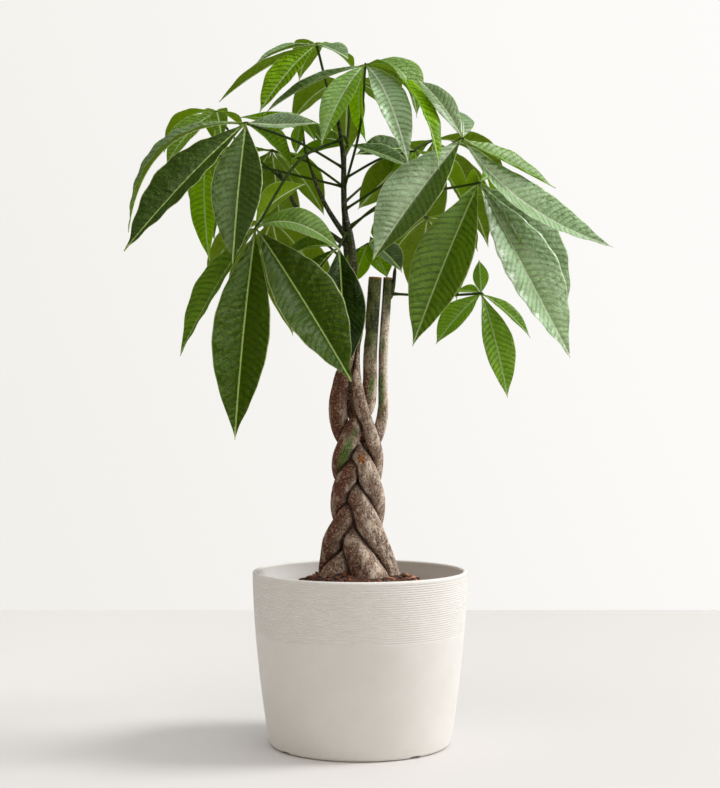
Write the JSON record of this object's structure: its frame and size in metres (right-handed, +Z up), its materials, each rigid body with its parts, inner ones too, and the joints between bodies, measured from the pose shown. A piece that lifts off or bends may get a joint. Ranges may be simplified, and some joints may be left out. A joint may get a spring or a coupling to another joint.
{
  "type": "potted money tree",
  "caption": "Braided-trunk money tree with fans of long drooping leaflets, standing in soil in a white pot with a finely ribbed upper band.",
  "frame": {"origin": "centre of the pot's flat base, on the surface that it stands on", "axes": "+Z up along the trunks; +X to the right and +Y away from the viewer when the tree is seen from its front"},
  "size_m": [0.4395, 0.319, 0.6701],
  "materials": {
    "pot": "satin",
    "soil": "matte",
    "bark": "matte",
    "leaf": "satin"
  },
  "bodies": {
    "root": {"pot": "pot", "soil": "soil", "trunk_thick": "bark", "trunk_right": "bark", "trunk_main": "bark", "trunk_brown": "bark", "trunk_back": "bark", "leaf_crown": "leaf", "leaf_upper_right": "leaf", "leaf_left_small": "leaf", "leaf_left_large": "leaf", "leaf_left_behind": "leaf", "leaf_lower_left": "leaf", "leaf_centre_dark": "leaf", "leaf_right_high": "leaf", "leaf_right_low": "leaf", "leaf_right_fresh": "leaf", "leaf_inner_right": "leaf", "leaf_inner_left": "leaf", "leaf_inner_top": "leaf", "leaf_inner_low": "leaf", "leaf_back_top": "leaf", "leaf_back_left": "leaf", "leaf_back_right": "leaf", "leaf_back_low_right": "leaf", "leaf_back_low_left": "leaf"}
  },
  "joints": []
}
